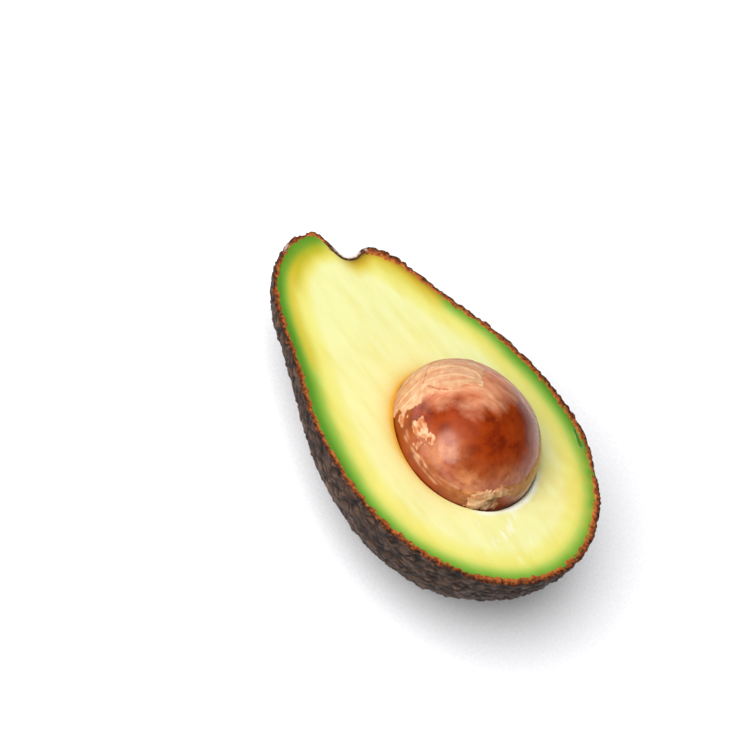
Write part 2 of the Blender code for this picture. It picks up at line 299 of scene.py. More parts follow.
def loft(name, rings, first, last):
    """A closed mesh through rings of equal count, from a first point to a last one."""
    rows, columns = rings.shape[:2]
    points = np.concatenate([rings.reshape(-1, 3), first[None], last[None]])
    numbers = np.arange(rows * columns).reshape(rows, columns)
    beside = np.roll(numbers, -1, axis=1)
    quads = np.stack([numbers[:-1], beside[:-1], beside[1:], numbers[1:]], axis=2).reshape(-1, 4)
    count = rows * columns
    faces = quads.tolist()
    faces += [(b, a, count) for a, b in zip(numbers[0].tolist(), beside[0].tolist())]
    faces += [(a, b, count + 1) for a, b in zip(numbers[-1].tolist(), beside[-1].tolist())]
    return resting_mesh(name, points, faces)


# Materials

def opaque(colour):
    """A colour with its alpha, from sRGB hex or from linear values."""
    return (*(from_hex(colour) if isinstance(colour, str) else colour), 1.0)


def fill_inputs(tree, node, inputs):
    """Sets a node's inputs to values or colours, or links them to other nodes' outputs."""
    for name, value in inputs.items():
        if isinstance(value, bpy.types.NodeSocket):
            tree.links.new(value, node.inputs[name])
        else:
            node.inputs[name].default_value = opaque(value) if isinstance(value, str) else value


def add_node(tree, kind, inputs, output=0, stops=(), **settings):
    """Adds a node with its settings, its ramp's stops and its inputs, and gives back one output.

    The kind is the node's type without the ShaderNode that all of them start with.
    """
    node = tree.nodes.new("ShaderNode" + kind)
    for name, value in settings.items():
        setattr(node, name, value)
    for number, (place, colour) in enumerate(stops):
        elements = node.color_ramp.elements
        stop = elements[number] if number < len(elements) else elements.new(place)
        stop.position = place
        stop.color = opaque(colour)
    fill_inputs(tree, node, inputs)
    return node.outputs[output]


def new_material(name, stored=(), patterns=()):
    """An empty node material, with outputs for the mesh's stored numbers and for noise patterns.

    A pattern is given as its size, detail and roughness and, where it is drawn out along lines,
    the stored number that grows across them.
    """
    material = bpy.data.materials.new(name)
    material.use_nodes = True
    tree = material.node_tree
    place = add_node(tree, "TexCoord", {}, "Object")
    numbers = {
        number: add_node(tree, "Attribute", {}, "Fac", attribute_name=number) for number in stored
    }
    noises = []
    for size, detail, roughness, *across in patterns:
        inputs = {"Vector": place, "Scale": 1.0 / size, "Detail": detail, "Roughness": roughness}
        if across:
            inputs["W"] = numbers[across[0]]
        dimensions = "4D" if across else "3D"
        noises.append(add_node(tree, "TexNoise", inputs, noise_dimensions=dimensions))
    return material, tree, list(numbers.values()), noises


def rind_material(settings):
    """Rind of a ripe avocado: a dry leathery peel with corky pebbles, cut clean at the rim.

    Its colour follows the pebbles' height: painted shade makes it near black in its creases and
    painted light grey-brown on its crests, with a dull waxy shine. The cut edge is dark outside and
    has dried to a crumbly orange rust inside. A pale painted highlight lies on the thin lip in the
    stem's hollow and on a few glints of the rim.
    """
    material, tree, (height, rim, across, painted_highlight), (blotches, grain, crumb, pores) = new_material(
        "ripe_avocado_rind", ("height", "rim", "across", "painted_highlight"),
        ((9 * MM, 4.0, 0.6), (0.9 * MM, 5.0, 0.65), (0.8 * MM, 6.0, 0.7), (0.45 * MM, 4.0, 0.6)),
    )
    # Painted shade and light: the peel's colour follows the pebbles' height, near black in the creases
    # and lighter on the crests
    shown = add_node(tree, "Math", {0: grain, 1: 0.5, 2: -0.25}, operation="MULTIPLY_ADD")
    shown = add_node(tree, "Math", {0: height, 1: shown}, operation="ADD")
    peel = add_node(tree, "ValToRGB", {"Fac": shown}, stops=[
        (0.05, settings.crease_shade_colour),
        (0.45, settings.peel_colour),
        (0.8, settings.crest_light_colour),
        (1.0, "785C42"),
    ])
    warmth = add_node(tree, "ValToRGB", {"Fac": blotches}, stops=[(0.35, "8A7C70"), (0.65, "A0825E")])
    tinted = add_node(
        tree, "Mix", {0: 0.6, 6: peel, 7: warmth}, 2, data_type="RGBA", blend_type="OVERLAY",
    )
    inner = add_node(tree, "Math", {0: across, 1: 0.28, 2: -0.12}, operation="MULTIPLY_ADD")
    baked = add_node(tree, "Math", {0: crumb, 1: inner}, operation="ADD")
    rust = add_node(tree, "ValToRGB", {"Fac": baked}, stops=[
        (0.36, "24150D"),
        (0.49, settings.rust_colour),
        (0.60, "965024"),
        (0.76, "C07036"),
    ])
    cut = add_node(tree, "Mix", {0: rim, 6: tinted, 7: rust}, 2, data_type="RGBA")
    # Painted highlight: a pale white line on the lip in the stem's hollow and on a few glints of the
    # rim
    colour = add_node(tree, "Mix", {0: painted_highlight, 6: cut, 7: "E6D6C8"}, 2, data_type="RGBA")
    fill_inputs(tree, tree.nodes["Principled BSDF"], {
        "Base Color": colour,
        "Roughness": add_node(tree, "MapRange", {
            "Value": shown, "From Min": 0.2, "To Min": 0.75, "To Max": 0.42,
        }),
        "Normal": add_node(tree, "Bump", {"Height": pores, "Strength": 0.9, "Distance": 0.18 * MM}),
        "IOR": 1.36,
    })
    return material


def flesh_material(settings):
    """Flesh of a ripe avocado: a firm buttery pulp, cut with a sharp knife.

    To the eye it is a moist, even cream yellow that turns gold and then green towards the rind,
    with light going a little way into it. Painted light is mixed in: a pale painted highlight on
    the cavity wall beside the stone and on the nick's lip, and painted shade in the nick's groove
    and just under the lip of the stem's hollow.
    """
    material, tree, (depth, neck, stem, edge, _, *tinted), (cloud, drawn, smear) = new_material(
        "cut_avocado_flesh",
        ("depth", "neck", "stem", "edge", "fibre", "gold", "warm", "ring", "nick_groove_shade", "pale_and_highlight"),
        ((7 * MM, 3.0, 0.5), (14 * MM, 3.0, 0.5, "fibre"), (2.2 * MM, 4.0, 0.55)),
    )
    shift = add_node(tree, "Math", {0: cloud, 1: 0.08, 2: -0.04}, operation="MULTIPLY_ADD")
    reach = add_node(tree, "Math", {0: depth, 1: shift}, operation="ADD")
    body = add_node(tree, "ValToRGB", {"Fac": reach}, stops=[
        (0.0, "56942A"),
        (0.10, settings.green_colour),
        (0.19, "8CBC46"),
        (0.30, "B4D060"),
        (0.41, "DEE272"),
        (0.54, settings.yellow_colour),
        (0.76, "F6F292"),
        (1.0, settings.cream_colour),
    ])
    lobe = add_node(tree, "ValToRGB", {"Fac": reach}, stops=[
        (0.0, "5F9A2A"),
        (0.20, "7CA834"),
        (0.36, "B1B82E"),
        (0.52, "CCC234"),
        (0.74, "E8D84C"),
        (1.0, "F6EC84"),
    ])
    # The stem end's own gold, with painted shadow in its darkest stops just under the lip of the stem's
    # hollow
    stem_gold_and_shadow = add_node(tree, "ValToRGB", {"Fac": edge}, stops=[
        (0.0, "7A5E1C"),
        (0.06, "B0902C"),
        (0.16, "D0B034"),
        (0.32, "E8D252"),
        (0.52, "F0DE6C"),
        (0.8, "F8F29C"),
    ])
    colour = add_node(tree, "Mix", {0: neck, 6: body, 7: lobe}, 2, data_type="RGBA")
    colour = add_node(tree, "Mix", {0: stem, 6: colour, 7: stem_gold_and_shadow}, 2, data_type="RGBA")
    # Tints in order: gold, warm, ring, painted shade in the nick's groove, and pale fibres with painted
    # highlight
    for share, tint in zip(tinted, ("F0C83C", "F0CC5A", "E8AC3C", "3E7A1E", "FFFFEC")):
        colour = add_node(tree, "Mix", {0: share, 6: colour, 7: tint}, 2, data_type="RGBA")
    tone = add_node(tree, "ValToRGB", {"Fac": drawn}, stops=[(0.34, "DAD7C8"), (0.56, "DDDDDD")])
    fill_inputs(tree, tree.nodes["Principled BSDF"], {
        "Base Color": add_node(
            tree, "Mix", {0: 1.0, 6: colour, 7: tone}, 2, data_type="RGBA", blend_type="MULTIPLY",
        ),
        "Normal": add_node(tree, "Bump", {"Height": smear, "Strength": 0.25, "Distance": 0.12 * MM}),
        "Roughness": 0.45,
        "IOR": 1.4,
        "Subsurface Weight": 0.12,
        "Subsurface Radius": (1.0, 0.7, 0.3),
        "Subsurface Scale": 1.2 * MM,
    })
    return material


def stone_material(settings):
    """Avocado stone: a hard smooth seed, still wet from the flesh.

    To the eye it is a deep red-brown with a soft gloss, clouded in pink streaks where a thin film
    of its coat still sticks, and crossed by a few fine pale lines. Some of its pink clouds are
    painted highlight and reflection, round the softbox's highlight and along its right limb.
    """
    material, tree, (film, haze_and_highlight, mark, pit, _), (mottle, drawn, veil) = new_material(
        "wet_avocado_stone", ("film", "haze_and_highlight", "mark", "pit", "streak"),
        ((4 * MM, 6.0, 0.6), (5 * MM, 4.0, 0.55, "streak"), (1.5 * MM, 5.0, 0.65)),
    )
    body = add_node(tree, "ValToRGB", {"Fac": mottle}, stops=[
        (0.34, settings.dark_colour), (0.5, settings.body_colour), (0.68, "8A3208"),
    ])
    film_colour = add_node(tree, "ValToRGB", {"Fac": drawn}, stops=[
        (0.3, "A85632"), (0.5, settings.film_colour), (0.72, "D4A27E"),
    ])
    mixed = add_node(tree, "Mix", {0: 0.4, 2: drawn, 3: veil}, data_type="FLOAT")
    frayed = add_node(tree, "Math", {0: mixed, 1: 0.9, 2: -0.45}, operation="MULTIPLY_ADD")
    frayed = add_node(tree, "Math", {0: film, 1: frayed}, operation="ADD")
    share = add_node(tree, "MapRange", {"Value": frayed, "From Min": 0.14, "From Max": 1.0})
    haze_highlight_colour = add_node(tree, "ValToRGB", {"Fac": mixed}, stops=[(0.38, "92441C"), (0.62, "D08A56")])
    colour = body
    # The haze mixes film haze with painted highlight and reflection
    for amount, tint in ((haze_and_highlight, haze_highlight_colour), (share, film_colour), (mark, "E0B48E"), (pit, "6A4E1E")):
        colour = add_node(tree, "Mix", {0: amount, 6: colour, 7: tint}, 2, data_type="RGBA")
    fill_inputs(tree, tree.nodes["Principled BSDF"], {
        "Base Color": colour,
        "Normal": add_node(tree, "Bump", {"Height": veil, "Strength": 0.12, "Distance": 0.1 * MM}),
        "Roughness": add_node(tree, "MapRange", {"Value": share, "To Min": 0.19, "To Max": 0.5}),
        "IOR": 1.55,
    })
    return material


def coat_material(settings):
    """Seed coat: a papery skin of the stone, torn as the fruit was cut.

    To the eye it is a matt pinkish tan drawn out in fine streaks, darker red-brown where it thins
    to its torn edges, and red-brown in its cracks. Painted light is mixed in: pale painted highlight
    on its folds, its pleats and the tops of its tufts, painted shade between the tufts' lumps, and
    a red-brown painted shade along the stone's top limb.
    """
    material, tree, (thickness_and_shade, pale_and_highlight, cracks_and_limb_shade, pit, _), (drawn,) = new_material(
        "torn_papery_seed_coat", ("thickness_and_shade", "pale_and_highlight", "cracks_and_limb_shade", "pit", "streak"),
        ((5 * MM, 4.0, 0.55, "streak"),),
    )
    # The coat's colour by its thickness, with painted shade and light from its lumps and wrinkles
    shifted = add_node(tree, "Math", {0: drawn, 1: 1.2, 2: -0.6}, operation="MULTIPLY_ADD")
    shown = add_node(tree, "Math", {0: thickness_and_shade, 1: shifted}, operation="ADD")
    colour = add_node(tree, "ValToRGB", {"Fac": shown}, stops=[
        (0.0, "98522C"),
        (0.3, "B8784E"),
        (0.6, settings.paper_colour),
        (0.95, "D2AA84"),
    ])
    # Tints in order: pale with painted highlight, cracks with painted shade along the top limb, and the
    # pit's stain
    for amount, tint in ((pale_and_highlight, "D4AC88"), (cracks_and_limb_shade, "A04E26"), (pit, "6A4E1E")):
        colour = add_node(tree, "Mix", {0: amount, 6: colour, 7: tint}, 2, data_type="RGBA")
    fill_inputs(tree, tree.nodes["Principled BSDF"], {
        "Base Color": colour,
        "Normal": add_node(tree, "Bump", {"Height": drawn, "Strength": 0.35, "Distance": 0.2 * MM}),
        "Roughness": 0.5,
        "IOR": 1.4,
        "Subsurface Weight": 0.1,
        "Subsurface Scale": 0.5 * MM,
    })
    return material


# Skin

PEBBLE_STRETCH = 1.6
PEBBLE_SHRINK = np.array([1.0 / PEBBLE_STRETCH, 1.0, 1.0])
PEBBLE_NEIGHBOURS = 5
PEBBLE_ROUNDING = 0.2
PEBBLE_ROOM = (0.8, 1.15)
PEBBLE_RISE = (0.55, 1.0)
PEBBLE_TILT = 0.08
PEBBLE_WOBBLE = 0.6 * MM
SCATTER_SEED = 11
SMOOTH_HEIGHT = 0.5

# Layers of ripples: length, seed and height
SKIN_GRAIN = ((1.5 * MM, 31, 0.11), (0.8 * MM, 32, 0.05))
SKIN_SWELLS = ((15 * MM, 33, 0.12), (4.2 * MM, 34, 0.13))
RIM_RAGS = ((2.8 * MM, 41, 0.22), (1.0 * MM, 42, 0.13))
RIM_CRUMBS = ((0.8 * MM, 43, 0.5), (1.6 * MM, 44, 0.6), (3.5 * MM, 45, 0.5))

# The cut rim: its width in millimetres and what changes it, then its crumbs
RIM_WIDTH = 1.35
RIM_WIDER_RIGHT = 0.5
RIM_WIDER_BY_NOTCH = 0.9
RIM_THINNER_IN_NOTCH = 0.6
RIM_WIDEST_ANGLE = math.radians(45)
RIM_PROUD = 0.06 * MM
RIM_CRUMB = 0.13 * MM
RIM_LIP = 0.7 * MM
RIM_CRUST = 0.35

# Places of the cut rim: direction, half width and softness in degrees
RIM_NOTCH = (170.4, 4.6, 2.5)
RIM_LUMP = (158.0, 5.5, 5.0)
# Where a pale highlight is painted on the rim: the lip in the stem's hollow, and glints on the rust
# lump and the lobe
PAINTED_LIP_HIGHLIGHT = (168.8, 3.7, 1.6)
PAINTED_GLINTS = ((162.6, 0.5, 0.8), (187.0, 1.2, 2.0))


def scatter_pebbles(spacing):
    """Middles of the pebbles over the back, at least about one spacing apart."""
    rng = np.random.default_rng(SCATTER_SEED)
    tries = rng.normal(size=(SCATTER_TRIES, 3))
    tries[:, 2] = 0.15 - np.abs(tries[:, 2])
    tries /= np.linalg.norm(tries, axis=1)[:, None]
    places = back_points(tries) * PEBBLE_SHRINK
    room = (local_spacing(tries, spacing) * rng.uniform(*PEBBLE_ROOM, SCATTER_TRIES)) ** 2
    kept = np.empty((SCATTER_TRIES, 3))
    count = 0
    for place, least in zip(places, room / PEBBLE_STRETCH):
        if count == 0 or np.min(np.sum((kept[:count] - place) ** 2, axis=1)) > least:
            kept[count] = place
            count += 1
    return kept[:count]


def pebble_heights(points, spacing):
    """How high each point of the back stands in its pebble, from 0 in a crease to about 1."""
    middles = scatter_pebbles(spacing)
    tree = search_tree(middles)
    rng = np.random.default_rng(SCATTER_SEED + 1)
    rises = rng.uniform(*PEBBLE_RISE, len(middles))
    tilts = rng.normal(size=(len(middles), 3)) * PEBBLE_TILT / MM
    wobble = np.stack([ripples(points, 3.4 * MM, seed) for seed in (21, 22, 23)], axis=1)
    sought = (points + wobble * PEBBLE_WOBBLE) * PEBBLE_SHRINK
    depths = np.clip(0.7 + 0.45 * ripples(points, 5 * MM, 24), 0.15, 1.0)
    nearest = np.empty(len(points), dtype=int)
    distances = np.empty((len(points), PEBBLE_NEIGHBOURS))
    for number, place in enumerate(sought):
        found = tree.find_n(place, PEBBLE_NEIGHBOURS)
        nearest[number] = found[0][1]
        distances[number] = [neighbour[2] for neighbour in found]
    crowding = np.exp((distances[:, :1] - distances) / (PEBBLE_ROUNDING * spacing)).sum(axis=1)
    dome = np.clip(2.0 / crowding - 1.0, 0.0, 1.0)
    lean = np.sum((sought - middles[nearest]) * tilts[nearest], axis=1)
    return rises[nearest] * (1.0 + lean) * dome * depths + 0.6 * (1.0 - depths)


def rim_width(angle):
    """How wide the cut rim is: thin in the stem's hollow, widest beside it."""
    right = 0.5 + 0.5 * np.cos(angle_from(angle, RIM_WIDEST_ANGLE))
    by_notch = RIM_WIDER_BY_NOTCH * sector(angle, *RIM_LUMP)
    in_notch = RIM_THINNER_IN_NOTCH * sector(angle, *RIM_NOTCH)
    return (RIM_WIDTH + RIM_WIDER_RIGHT * right + by_notch - in_notch) * MM


def build_skin(settings):
    """The pebbled outside, the crumbly cut rim and the smooth inside, as one closed mesh."""
    columns = SKIN_COLUMNS
    angles = rim_angles(columns)
    drops = -np.linspace(0.0, math.radians(89.7), SKIN_WALL_ROWS)
    ways = direction(angles[None, :], drops[:, None])
    flat_ways = ways.reshape(-1, 3)
    smooth = back_points(flat_ways)
    grid = smooth.reshape(SKIN_WALL_ROWS, columns, 3)
    normals = grid_normals(grid)
    normals[0, :, 2] = 0.0
    from_spot = np.linalg.norm(smooth - REST_POINT, axis=1)
    pebbled = smooth_step((from_spot - REST_SMOOTH_RADIUS) / REST_SMOOTH_RADIUS)
    pebbled *= 1.0 - smooth_step(notch_depth(flat_ways) / NOTCH_SMOOTH_DEPTH)
    height = pebble_heights(smooth, settings.pebble_spacing)
    fine = layered(smooth, SKIN_GRAIN) * MM
    broad = layered(smooth, SKIN_SWELLS) * MM
    rise = settings.pebble_height
    relief = pebbled * (height * rise - 0.55 * rise + broad) + fine * (0.3 + 0.7 * pebbled)
    outside = smooth + normals.reshape(-1, 3) * relief[:, None]
    outside = settle(outside).reshape(SKIN_WALL_ROWS, columns, 3)
    outer_edge = outside[0]

    # The cut rim, from its outer edge to its ragged inner edge
    ring = direction(angles, 0.0)
    edge = back_points(ring)
    width = rim_width(angles) + layered(edge, RIM_RAGS) * MM
    inner_edge = edge - normals[0] * width[:, None]
    share = np.linspace(0.0, 1.0, SKIN_RIM_ROWS + 1)[1:, None, None]
    rim_grid = outer_edge * (1.0 - share) + inner_edge * share
    flat = rim_grid.reshape(-1, 3)
    top = 1.0 - (2.0 * np.repeat(share.ravel(), columns) - 1.0) ** 4
    raised = (RIM_PROUD + RIM_CRUMB * layered(flat, RIM_CRUMBS)) * top
    rim_grid[:, :, 2] = raised.reshape(SKIN_RIM_ROWS, columns)
    foot = inner_edge - normals[0] * 0.1 * MM
    foot[:, 2] = -RIM_LIP
    inside_drops = -np.linspace(math.radians(3), math.radians(89.7), SKIN_INSIDE_ROWS)
    inside_ways = direction(angles[None, :], inside_drops[:, None]).reshape(-1, 3)
    inside = back_points(inside_ways, inset=SKIN_THICKNESS).reshape(SKIN_INSIDE_ROWS, columns, 3)

    rings = np.concatenate([outside[::-1], rim_grid, foot[None], inside])
    pole = direction(0.0, -math.pi / 2)[None]
    first = settle(back_points(pole))[0]
    last = back_points(pole, inset=SKIN_THICKNESS)[0]
    mesh = loft("skin_look", rings, first, last)

    # Numbers for the material: the outside's rows go up to the cut, then come the rim's
    to_cut = -outside[:, :, 2] / MM
    torn = RIM_CRUST + RIM_CRUST * ripples(smooth, 2.2 * MM, 46).reshape(SKIN_WALL_ROWS, columns)
    hollow = smooth_step((notch_depth(flat_ways) / NOTCH_DEPTH - 0.3) / 0.3).reshape(-1, columns)
    crusted = np.maximum(smooth_step((torn - to_cut) / 0.3 + 0.5) * 0.9, 0.75 * hollow)
    # Painted highlight on the lip in the stem's hollow and on glints of the rim
    lip_highlight = sector(angles, *PAINTED_LIP_HIGHLIGHT)
    painted_glint = sum(sector(angles, *place) for place in PAINTED_GLINTS)
    pebbles = (height * pebbled + SMOOTH_HEIGHT * (1.0 - pebbled)).reshape(-1, columns)
    rows = np.zeros((len(rings), columns))
    wall, cut = slice(0, SKIN_WALL_ROWS), slice(SKIN_WALL_ROWS, SKIN_WALL_ROWS + SKIN_RIM_ROWS)
    height_rows, rim_rows = rows + SMOOTH_HEIGHT, rows + 1.0
    across_rows, highlight_rows = rows + 1.0, rows.copy()
    height_rows[wall] = pebbles[::-1]
    rim_rows[wall] = crusted[::-1]
    across_rows[wall] = 0.0
    across_rows[cut] = share[:, :, 0]
    across_rows *= 1.0 - hollow[0]
    # The painted highlight runs a little down the outside from the lip and across the rim
    highlight_rows[wall] = (0.9 * lip_highlight * (1.0 - smooth_step(to_cut)))[::-1]
    highlight_rows[cut] = np.clip(lip_highlight + 0.5 * painted_glint, 0.0, 1.0) * bump(share[:, :, 0], 0.25, 0.3)
    add_values(mesh, {
        name: np.append(numbers.ravel(), ends) for name, numbers, ends in (
            ("height", height_rows, (SMOOTH_HEIGHT, SMOOTH_HEIGHT)),
            ("rim", rim_rows, (0.0, 0.0)),
            ("across", across_rows, (0.0, 1.0)),
            ("painted_highlight", highlight_rows, (0.0, 0.0)),
        )
    })
    return add_object("skin_look", mesh, rind_material(settings), "skin")


# Stone, and the hollow that it sits in

# The radius of the ball on which the stone's and the seed coat's noise is worked out
STONE_SPAN = 18 * MM
# Layers of ripples in the stone: length, seed and height
STONE_SWELLS = ((9 * MM, 51, 0.08),)


def egg_points(directions, raised):
    """Points of the stone's plain egg, in the fruit's frame, raised off it along the directions."""
    x, y, z = (directions * (STONE_HALF_SIZE + np.reshape(raised, (-1, 1)))).T
    y = y * (1.0 + STONE_EGG * directions[:, 0])
    cosine, sine = math.cos(STONE_TURN), math.sin(STONE_TURN)
    turned = np.stack([x * cosine - y * sine, x * sine + y * cosine, z], axis=1)
    return turned + STONE_CENTRE


def stone_points(directions, raised=0.0):
    """Points of the stone's surface, or raised off it, for directions from its middle."""
    x, y, z = directions.T
    turn = np.arctan2(y, x) + np.arcsin(np.clip(z, -1, 1))
    ripple = np.sin(STONE_RIPPLE_COUNT * turn) * np.hypot(x, y) - 1.0
    to_pit = directions @ direction(STONE_PIT_AZIMUTH, STONE_PIT_ELEVATION)
    pit = np.exp(-(np.arccos(np.clip(to_pit, -1.0, 1.0)) / STONE_PIT_WIDTH) ** 2)
    wavy = layered(directions * STONE_SPAN, STONE_SWELLS) * MM
    return egg_points(directions, STONE_RIPPLE * ripple * 0.4 - STONE_PIT_DEPTH * pit + wavy + raised)


def ball(subdivisions):
    """Directions and triangles of an evenly drawn ball."""
    mesh = bmesh.new()
    bmesh.ops.create_icosphere(mesh, subdivisions=subdivisions, radius=1.0)
    directions = np.array([vertex.co for vertex in mesh.verts])
    faces = np.array([[vertex.index for vertex in face.verts] for face in mesh.faces])
    mesh.free()
    return directions / np.linalg.norm(directions, axis=1)[:, None], faces


def within(directions, outline):
    """How far inside an outline on the stone each direction is, in metres over the stone.

    The outline's points are azimuths and elevations in degrees, from the stone's middle.
    """
    corners = direction(*np.radians(np.array(outline, dtype=float)).T)
    middle = corners.sum(axis=0) / np.linalg.norm(corners.sum(axis=0))
    across = np.cross((0.0, 0.0, 1.0), middle)
    across /= np.linalg.norm(across)
    upward = np.cross(middle, across)

    def laid_flat(ways):
        reach = np.arccos(np.clip(ways @ middle, -1.0, 1.0))
        flat = np.stack([ways @ across, ways @ upward], axis=1)
        return flat * (reach / np.maximum(np.linalg.norm(flat, axis=1), 1e-9))[:, None]

    spots, edge = laid_flat(directions), laid_flat(corners)
    inside = np.zeros(len(spots), dtype=bool)
    for start, end in zip(edge, np.roll(edge, -1, axis=0)):
        crossing = (start[1] > spots[:, 1]) != (end[1] > spots[:, 1])
        slope = (end[0] - start[0]) / ((end[1] - start[1]) or 1e-12)
        inside ^= crossing & (spots[:, 0] < start[0] + (spots[:, 1] - start[1]) * slope)
    nearest = to_line(spots, np.concatenate([edge, edge[:1]]))
    return np.where(inside, nearest, -nearest) * STONE_HALF_SIZE[1]


def stone_line(directions, corners):
    """How far each direction is from a bent line on the stone, in metres over the stone."""
    line = direction(*np.radians(np.array(corners, dtype=float)).T)
    return to_line(directions, line) * STONE_HALF_SIZE[1]


STREAK_MIDDLE = (-62, 44)
STREAK_FINENESS = 1.7
STREAK_WAVINESS = 0.6 * MM

# Where the seed coat still sticks, as azimuths and elevations in degrees
MAIN_PATCH = [
    (-128, -14), (-122, 2), (-124, 8), (-115, 13), (-119, 20), (-119, 30), (-120, 35), (-128, 39),
    (-125, 45), (-123, 55), (-130, 65), (-146, 70), (-172, 80), (160, 72), (140, 59), (150, 45),
    (143, 32), (152, 18), (144, 4), (148, -14),
]
TUFT_PATCH = [
    (-107, 21), (-107, 31), (-100, 33), (-94, 32), (-87, 34), (-83, 30), (-90, 26), (-86, 18),
    (-92, 18),
]
LIMB_PATCH = [(-125, 2), (-114, 9), (-107, 12), (-112, 16), (-115, 22), (-121, 14)]
FLAP_PATCH = [
    (-40, 2), (-36, 12), (-31, 19), (-22, 23), (-11, 24), (-2, 19), (-2, 13), (-7, 8), (-7, -5),
    (-25, -5),
]
# Where only a thin film of it clings, and clouds that are partly film haze and partly painted highlight
# and reflection: azimuth, elevation, reach, strength
FILM_PATCH = [
    (-118, 33), (-109, 47), (-109, 61), (-84, 69), (-60, 75), (-25, 77), (17, 78), (75, 74),
    (85, 62), (62, 50), (75, 34), (150, 20), (-170, 0), (-128, 10),
]
# The first cloud lies on the softbox's highlight and the last along the right limb, as painted
# highlight and reflection
FILM_AND_HIGHLIGHT_CLOUDS = (
    (-70, 31, 14, 0.7), (-90, 20, 10, 0.4), (-8, 30, 11, 0.6), (14, 14, 15, 0.9), (-40, 20, 13, 0.95),
    (45, 28, 18, 0.9),
)
# Fine pale lines on the stone, and lines on the seed coat that are raised or cracked
ARCS = (
    [(-103, 10), (-92, 12), (-82, 15), (-75, 13)],
    [(-105, 14), (-96, 14), (-80, 13), (-63, 12), (-52, 11)],
    [(-66, 14), (-56, 15), (-47, 16)],
    [(-86, 10), (-73, 9), (-62, 8)],
)
LIMB_STREAKS = (
    [(140, 59), (111, 59), (82, 57), (65, 51)],
    [(123, 53), (100, 49), (80, 45)],
)
FOLDS = (
    [(-157, 36), (-165, 44), (-178, 54), (169, 65), (166, 74), (-172, 79), (-166, 77)],
    [(-144, 38), (-151, 49), (-161, 60), (-175, 70)],
    [(-130, 8), (-134, 16), (-139, 25), (-148, 34)],
    [(-124, 11), (-127, 21), (-130, 29)],
    [(-35, 14), (-24, 20), (-14, 21)],
    [(-30, 6), (-24, 10), (-19, 13)],
    [(-20, 1), (-15, -3), (-11, 0)],
)
CRACKS = ([(-162, 31), (-150, 34), (-141, 34)], [(-136, 40), (-131, 47), (-129, 56)])
# Where a red-brown painted shade runs along the stone's top limb
SHADED_TOP_LIMB = [(-175, 24), (165, 34), (140, 42), (115, 45), (85, 42), (60, 32)]
PIT_SPOT = (-15, 8)
PIT_STAIN = 0.85
PIT_STAIN_WIDTH = 1.3 * MM
PLEAT_COUNT = 6.0
PLEAT_WAVINESS = 3.0
FILM_SOFTNESS = 9 * MM
FILM_SPREAD = 0.42
# Pale lines: where they run, how strong, wide and wavy they are
STONE_MARKS = ((ARCS, 0.4, 0.3 * MM, 0.2), (LIMB_STREAKS, 0.5, 0.45 * MM, 0.0))

# Layers of ripples in the seed coat: length, seed and height
COAT_TEARS = ((3.2 * MM, 71, 0.5), (1.1 * MM, 72, 0.28))
COAT_FLUFF = ((2.2 * MM, 74, 0.6), (1.0 * MM, 75, 0.5))
# Its scraps: outline, thickness in sheets, how frayed and lumpy they are, how softly they rise
COAT_SCRAPS = (
    (MAIN_PATCH, 1.0, 0.8, 0.2, 1.4 * MM),
    (TUFT_PATCH, 2.0, 1.3, 1.0, 3.4 * MM),
    (LIMB_PATCH, 1.4, 1.4, 1.0, 2.8 * MM),
    (FLAP_PATCH, 2.4, 1.0, 0.25, 4.4 * MM),
)
COAT_SUNK = -0.25 * MM
COAT_HIDDEN = -0.2 * MM
COAT_UNDERSIDE = -0.5 * MM


def angle_to(directions, azimuth, elevation):
    """The angle between each direction and the one given in degrees."""
    return np.arccos(np.clip(directions @ direction(*np.radians((azimuth, elevation))), -1.0, 1.0))


def streaks(directions):
    """Distance round the stone's shown side, stretched so that noise is drawn out along it."""
    reach = angle_to(directions, *STREAK_MIDDLE) * STONE_HALF_SIZE[1]
    wavy = reach + ripples(directions * STONE_SPAN, 12 * MM, 52) * STREAK_WAVINESS
    return wavy ** 2 / STONE_HALF_SIZE[1] * STREAK_FINENESS


def pit_stain(directions):
    """The olive stain in the small pit where the seed coat was attached."""
    away = angle_to(directions, *PIT_SPOT) * STONE_HALF_SIZE[1]
    frayed = away + ripples(directions * STONE_SPAN, 1.6 * MM, 53) * 0.3 * MM
    return PIT_STAIN * bump(frayed, 0.0, PIT_STAIN_WIDTH)


def pleats(directions):
    """Folds of the seed coat that run out from that pit, from -1 to 1."""
    spot = direction(*np.radians(PIT_SPOT))
    across = np.cross((0.0, 0.0, 1.0), spot)
    turn = np.arctan2(directions @ np.cross(spot, across), directions @ across)
    return np.sin(PLEAT_COUNT * turn + PLEAT_WAVINESS * ripples(directions * STONE_SPAN, 5 * MM, 54))


def build_stone(settings):
    """The stone's egg, with its film, its clouds of film haze and painted highlight, and its pale lines
    stored for its material.
    """
    directions, faces = ball(STONE_SUBDIVISIONS)
    mesh = resting_mesh("stone_look", stone_points(directions), faces.tolist())
    spots = directions * STONE_SPAN
    ragged = ripples(spots, 4 * MM, 61) * 0.7 * MM
    film = smooth_step((within(directions, FILM_PATCH) + 0.6 * ragged) / FILM_SOFTNESS + FILM_SPREAD)
    haze_and_highlight = sum(
        strength * bump(angle_to(directions, azimuth, elevation), 0.0, math.radians(reach))
        for azimuth, elevation, reach, strength in FILM_AND_HIGHLIGHT_CLOUDS
    )
    broken = np.clip(0.6 + 0.5 * ripples(spots, 2.5 * MM, 62), 0.0, 1.0)
    mark = 0.0
    for lines, strength, width, waviness in STONE_MARKS:
        for line in lines:
            away = stone_line(directions, line) + waviness * ragged
            mark = mark + strength * bump(away, 0.0, width)
    add_values(mesh, {
        "film": film, "haze_and_highlight": np.clip(haze_and_highlight, 0.0, 1.0), "mark": np.clip(mark * broken, 0.0, 1.0),
        "pit": pit_stain(directions), "streak": streaks(directions),
    })
    return add_object("stone_look", mesh, stone_material(settings), "stone")


